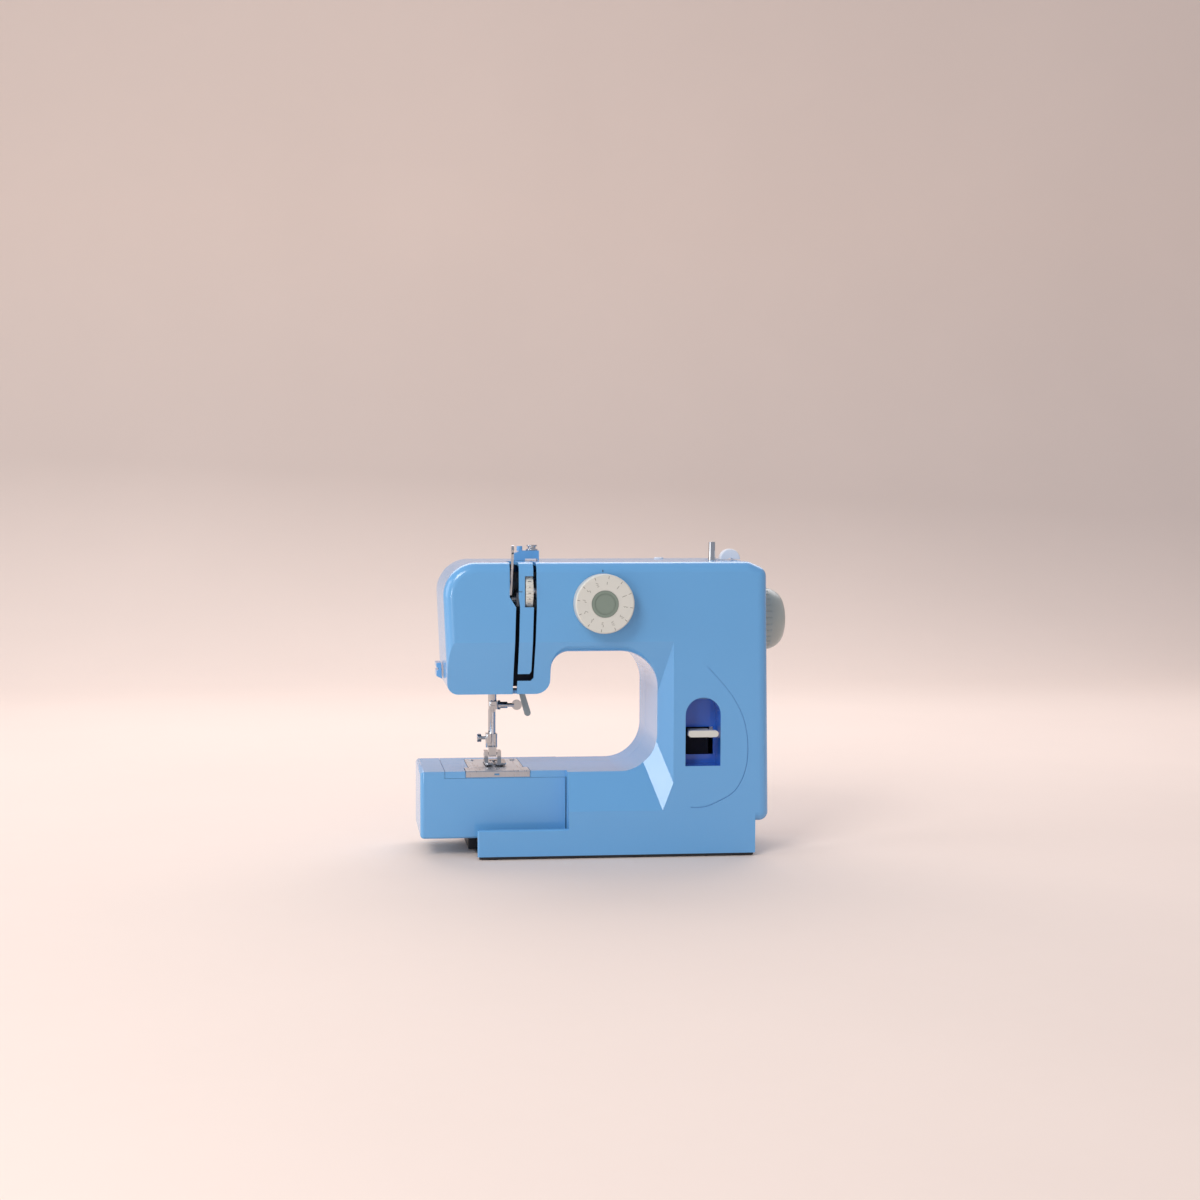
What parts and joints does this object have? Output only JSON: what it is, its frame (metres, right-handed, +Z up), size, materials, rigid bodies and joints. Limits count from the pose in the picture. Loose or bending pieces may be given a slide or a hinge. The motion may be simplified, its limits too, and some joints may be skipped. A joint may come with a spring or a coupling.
{
  "type": "sewing machine",
  "caption": "Compact mechanical free-arm sewing machine with front stitch dial, reverse lever pocket, handwheel, needle bar, presser foot and hinged shuttle cover.",
  "frame": {"origin": "centre of the footprint of the bounding box, on the plane the rubber feet stand on", "axes": "+X along the free arm towards the handwheel, front faces -Y, +Z up"},
  "size_m": [0.3356, 0.135, 0.2779],
  "materials": {
    "blue_shell": "glossy moulded ABS, sky blue",
    "bright_chrome": "polished chrome plate",
    "brushed_steel": "ground and brushed steel",
    "ivory_plastic": "satin warm ivory plastic",
    "white_plastic": "white moulded plastic",
    "sage_plastic": "satin sage grey plastic",
    "grey_plastic": "satin light grey plastic",
    "black_rubber": "matt black rubber",
    "black_plastic": "fine textured black plastic",
    "dark_motor": "dark painted steel can",
    "cast_frame": "sand cast aluminium",
    "bronze": "sintered bronze"
  },
  "bodies": {
    "machine_body": {"base_pan": "black_plastic", "bearing_bushings": "bronze", "bobbin_case": "brushed_steel", "cover_hinge_pin": "bright_chrome", "cover_screws": "brushed_steel", "dial_bracket": "brushed_steel", "front_cover": "blue_shell", "inner_frame": "cast_frame", "motor": "dark_motor", "motor_belt": "black_rubber", "needle_plate": "brushed_steel", "plate_screws": "brushed_steel", "power_inlet": "black_plastic", "power_switch_frame": "black_plastic", "presser_spring": "brushed_steel", "rear_cover": "blue_shell", "reverse_bracket": "brushed_steel", "rubber_feet": "black_rubber", "shaft_belt": "black_rubber", "shuttle_race": "brushed_steel", "spool_pin_guide": "white_plastic", "take_up_bracket": "brushed_steel", "tension_bracket": "brushed_steel", "tension_discs": "brushed_steel", "thread_cutter": "blue_shell", "top_thread_guide": "blue_shell", "winder_stop": "white_plastic"},
    "main_drive": {"upper_shaft": "brushed_steel", "crank_counterweight": "brushed_steel", "upper_belt_wheel": "black_plastic", "drive_pulley": "black_plastic", "handwheel": "grey_plastic"},
    "link": {"needle_bar_link": "brushed_steel"},
    "needle_bar_body": {"needle_bar": "bright_chrome", "needle_clamp": "bright_chrome", "needle": "brushed_steel"},
    "clamp_screw_body": {"clamp_screw": "bright_chrome"},
    "take_up": {"take_up_lever": "bright_chrome"},
    "lower_drive": {"lower_shaft": "brushed_steel", "shuttle_hook": "brushed_steel"},
    "bobbin_body": {"bobbin": "white_plastic"},
    "feed_body": {"feed_dog": "brushed_steel"},
    "motor_rotor": {"motor_pulley_shaft": "brushed_steel"},
    "presser_body": {"presser_bar": "bright_chrome", "foot_holder": "bright_chrome"},
    "holder_screw_body": {"holder_thumb_screw": "bright_chrome"},
    "foot_body": {"presser_foot": "bright_chrome"},
    "lifter_body": {"presser_lifter": "grey_plastic"},
    "dial_body": {"stitch_dial": "ivory_plastic", "dial_centre_cap": "sage_plastic", "stitch_cam_shaft": "brushed_steel"},
    "tension_body": {"tension_wheel": "ivory_plastic"},
    "reverse_body": {"reverse_lever": "ivory_plastic"},
    "winder_arm": {"winder_carriage": "brushed_steel"},
    "winder_body": {"winder_spindle": "bright_chrome"},
    "spool_body": {"spool_pin": "brushed_steel"},
    "cover_door": {"shuttle_cover": "blue_shell"},
    "slide_plate": {"bobbin_cover_plate": "brushed_steel"},
    "switch_body": {"power_switch": "black_plastic"},
    "pretension_body": {"pretension_disc": "bright_chrome"}
  },
  "joints": [
    {"name": "handwheel_turn", "type": "hinge", "parent": "machine_body", "child": "main_drive", "pos_m": [0.14025, 0.00945, 0.2072], "axis": [1, 0, 0], "range_deg": [0, 180]},
    {"name": "link_swing", "type": "hinge", "parent": "main_drive", "child": "link", "pos_m": [-0.08715, 0.00945, 0.2207], "axis": [1, 0, 0], "range_deg": [-181, 1]},
    {"name": "needle_bar_slide", "type": "slide", "parent": "machine_body", "child": "needle_bar_body", "axis": [0, 0, -1], "range_m": [-0.0001, 0.0271]},
    {"name": "clamp_screw_turn", "type": "hinge", "parent": "needle_bar_body", "child": "clamp_screw_body", "pos_m": [-0.09475, 0.00945, 0.13], "axis": [1, 0, 0], "range_deg": [0, 170]},
    {"name": "take_up_swing", "type": "hinge", "parent": "machine_body", "child": "take_up", "pos_m": [-0.08715, -0.02255, 0.228], "axis": [1, 0, 0], "range_deg": [-0.5, 31]},
    {"name": "shuttle_turn", "type": "hinge", "parent": "machine_body", "child": "lower_drive", "pos_m": [-0.00975, 0.00945, 0.048], "axis": [1, 0, 0], "range_deg": [-1, 181]},
    {"name": "bobbin_spin", "type": "hinge", "parent": "machine_body", "child": "bobbin_body", "pos_m": [-0.10975, 0.00945, 0.048], "axis": [1, 0, 0], "continuous": true},
    {"name": "feed_dog_drop", "type": "slide", "parent": "machine_body", "child": "feed_body", "axis": [0, 0, -1], "range_m": [-0.0001, 0.0021]},
    {"name": "motor_turn", "type": "hinge", "parent": "machine_body", "child": "motor_rotor", "pos_m": [0.11025, -0.02855, 0.047], "axis": [1, 0, 0], "range_deg": [-1, 760]},
    {"name": "presser_bar_lift", "type": "slide", "parent": "machine_body", "child": "presser_body", "axis": [0, 0, 1], "range_m": [0, 0.0055]},
    {"name": "holder_screw_turn", "type": "hinge", "parent": "presser_body", "child": "holder_screw_body", "pos_m": [-0.10875, 0.02145, 0.0986], "axis": [-1, 0, 0], "range_deg": [0, 170]},
    {"name": "presser_foot_tilt", "type": "hinge", "parent": "presser_body", "child": "foot_body", "pos_m": [-0.09925, 0.01745, 0.0846], "axis": [1, 0, 0], "range_deg": [-8, 0]},
    {"name": "presser_lifter_swing", "type": "hinge", "parent": "machine_body", "child": "lifter_body", "pos_m": [-0.07625, 0.04145, 0.158], "axis": [0, -1, 0], "range_deg": [-0.5, 28.2]},
    {"name": "stitch_dial_turn", "type": "hinge", "parent": "machine_body", "child": "dial_body", "pos_m": [-0.00855, -0.05855, 0.2259], "axis": [0, 1, 0], "continuous": true},
    {"name": "tension_wheel_turn", "type": "hinge", "parent": "machine_body", "child": "tension_body", "pos_m": [-0.07275, -0.04005, 0.2362], "axis": [1, 0, 0], "range_deg": [-150, 150]},
    {"name": "reverse_lever_press", "type": "hinge", "parent": "machine_body", "child": "reverse_body", "pos_m": [0.08525, -0.01455, 0.1095], "axis": [1, 0, 0], "range_deg": [0, 15], "stiffness_Nm_per_rad": 0.4, "springref_deg": -11.46},
    {"name": "winder_shift", "type": "slide", "parent": "machine_body", "child": "winder_arm", "axis": [1, 0, 0], "range_m": [0, 0.003]},
    {"name": "winder_spin", "type": "hinge", "parent": "winder_arm", "child": "winder_body", "pos_m": [0.09975, 0.00145, 0.26], "axis": [0, 0, 1], "continuous": true},
    {"name": "spool_pin_raise", "type": "slide", "parent": "machine_body", "child": "spool_body", "axis": [0, 0, 1], "range_m": [0, 0.058]},
    {"name": "shuttle_cover_open", "type": "hinge", "parent": "machine_body", "child": "cover_door", "pos_m": [-0.09975, -0.02755, 0.0206], "axis": [1, 0, 0], "range_deg": [0, 28]},
    {"name": "cover_plate_slide", "type": "slide", "parent": "machine_body", "child": "slide_plate", "axis": [0, -1, 0], "range_m": [0, 0.012]},
    {"name": "power_switch_rock", "type": "hinge", "parent": "machine_body", "child": "switch_body", "pos_m": [0.13875, 0.00245, 0.068], "axis": [0, 1, 0], "range_deg": [0, 5]},
    {"name": "pretension_disc_spin", "type": "hinge", "parent": "machine_body", "child": "pretension_body", "pos_m": [-0.06495, 0.00245, 0.272], "axis": [0, 0, 1], "continuous": true}
  ],
  "couplings": [
    {"joint": "link_swing", "follows": "handwheel_turn", "ratio": -1},
    {"joint": "needle_bar_slide", "follows": "handwheel_turn", "m_per_rad": 0.0085944},
    {"joint": "take_up_swing", "follows": "handwheel_turn", "ratio": 0.16667},
    {"joint": "shuttle_turn", "follows": "handwheel_turn", "ratio": 1},
    {"joint": "feed_dog_drop", "follows": "handwheel_turn", "m_per_rad": 0.00063662},
    {"joint": "motor_turn", "follows": "handwheel_turn", "ratio": 4.1667},
    {"joint": "presser_lifter_swing", "follows": "presser_bar_lift", "rad_per_m": 87.266}
  ]
}
